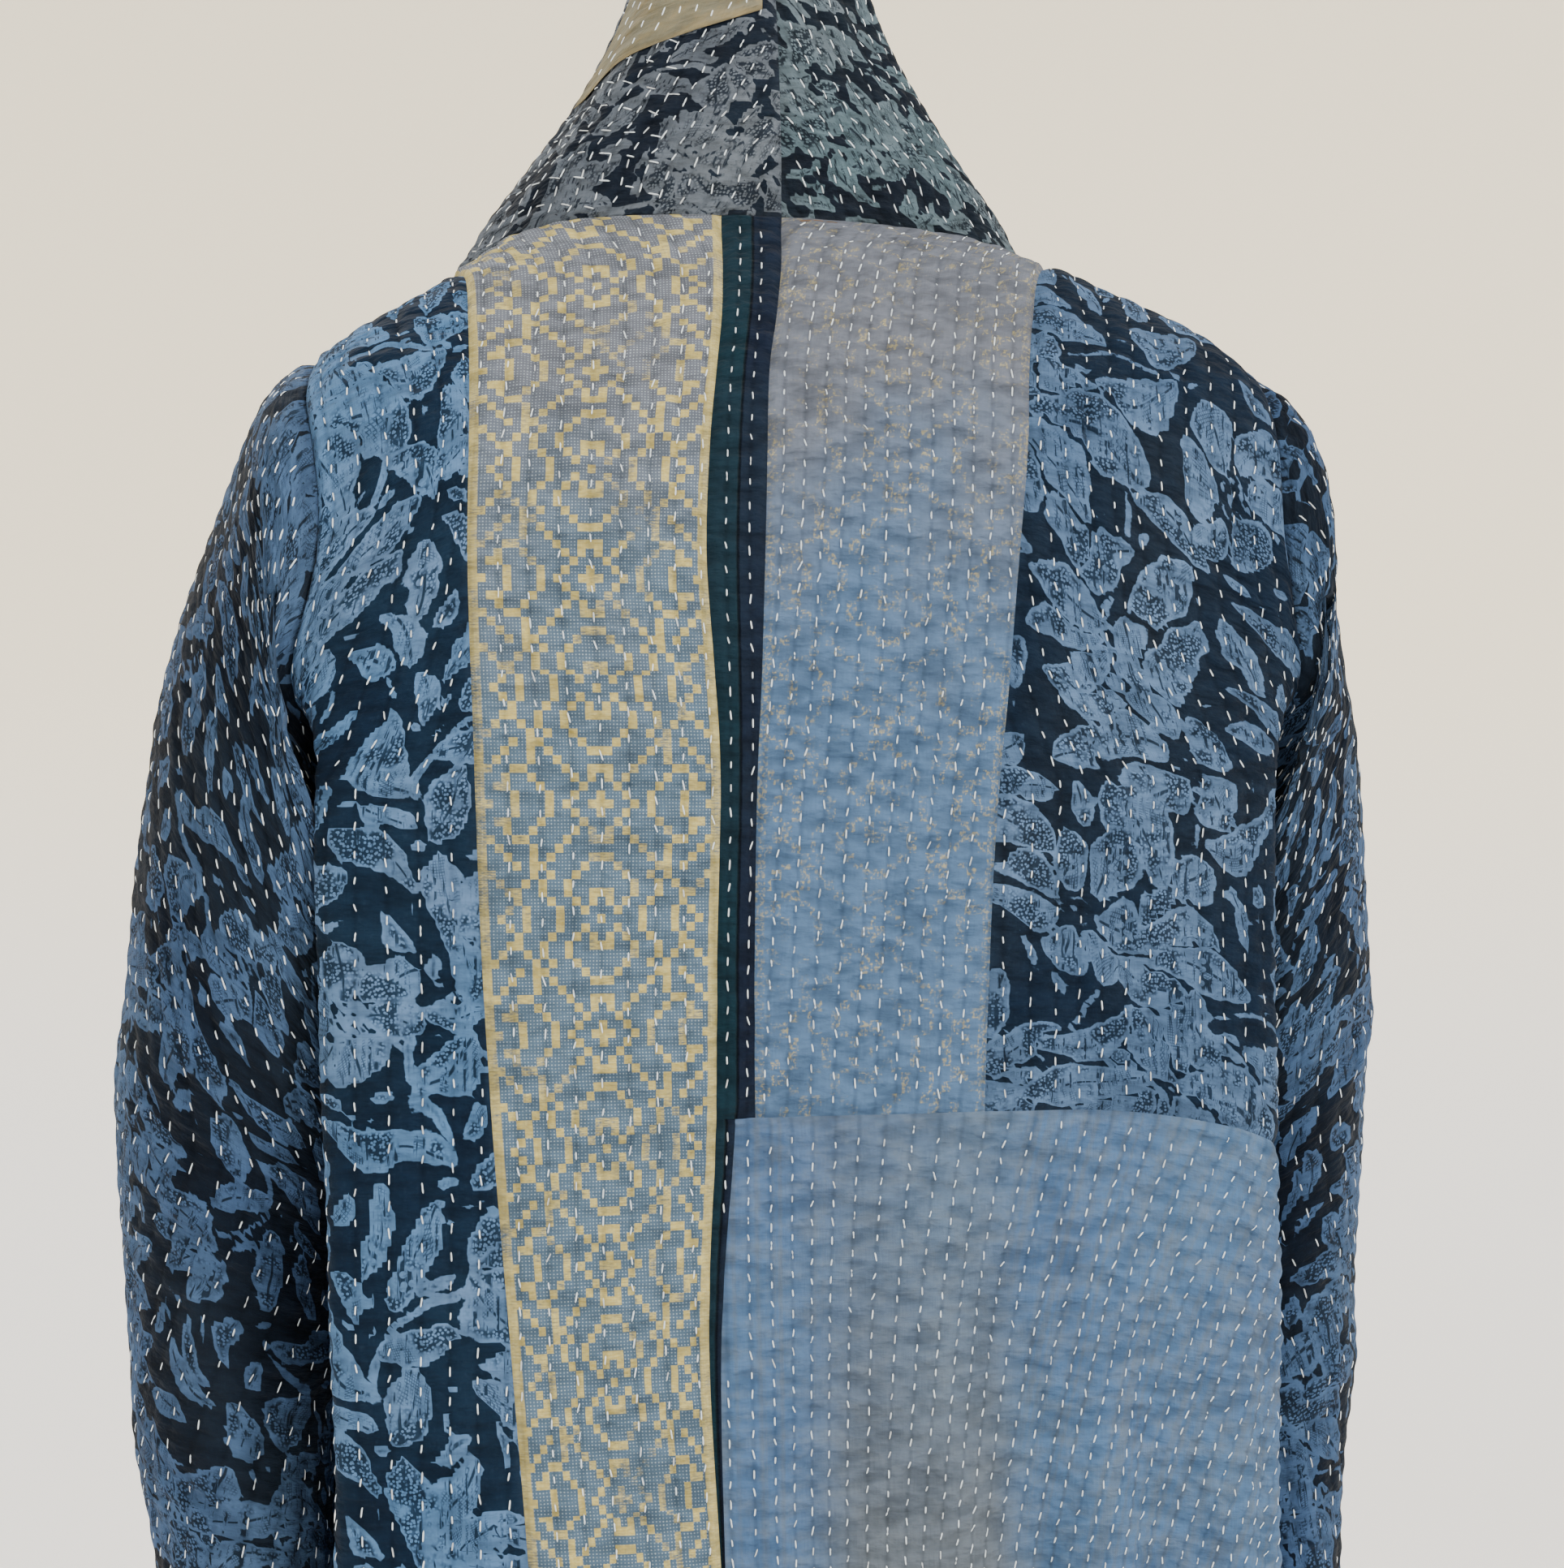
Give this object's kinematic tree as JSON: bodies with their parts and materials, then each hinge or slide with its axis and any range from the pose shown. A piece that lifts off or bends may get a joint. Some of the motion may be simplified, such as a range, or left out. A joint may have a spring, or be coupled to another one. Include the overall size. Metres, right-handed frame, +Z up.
{
  "type": "belted quilted coat",
  "caption": "Knee-length patchwork coat in hand-quilted cotton, with a standing collar that runs into the front bands, long sleeves and a tied belt, held as worn and hollow inside.",
  "frame": {"origin": "on the coat's middle line at the height of the nape seam, between the shoulders", "axes": "+Z up along the wearer, -Y the way the coat faces, +X to the wearer's left"},
  "size_m": [0.609, 0.3464, 1.0812],
  "materials": {
    "floral": "block-printed quilted cotton, navy and grey blue",
    "jacquard": "grey-blue woven border with a gold repeat",
    "navy": "plain dark cotton",
    "worn": "plain blue-grey quilted cotton, worn",
    "collar": "printed teal-grey quilted cotton",
    "olive": "olive cotton patch",
    "belt": "plain dark cotton tie"
  },
  "bodies": {
    "root": {"back_left_floral": "floral", "back_right_floral": "floral", "front_left": "floral", "front_right": "floral", "sleeve_left": "floral", "sleeve_right": "floral", "back_jacquard_strip": "jacquard", "back_navy_strip": "navy", "back_navy_tail": "navy", "back_right_worn": "worn", "back_right_lower": "worn", "collar_left": "collar", "collar_right": "collar", "band_left": "collar", "band_right": "collar", "collar_patch": "olive", "belt_left": "belt", "belt_right": "belt", "belt_knot": "belt", "belt_tail_left": "belt", "belt_tail_right": "belt"}
  },
  "joints": []
}
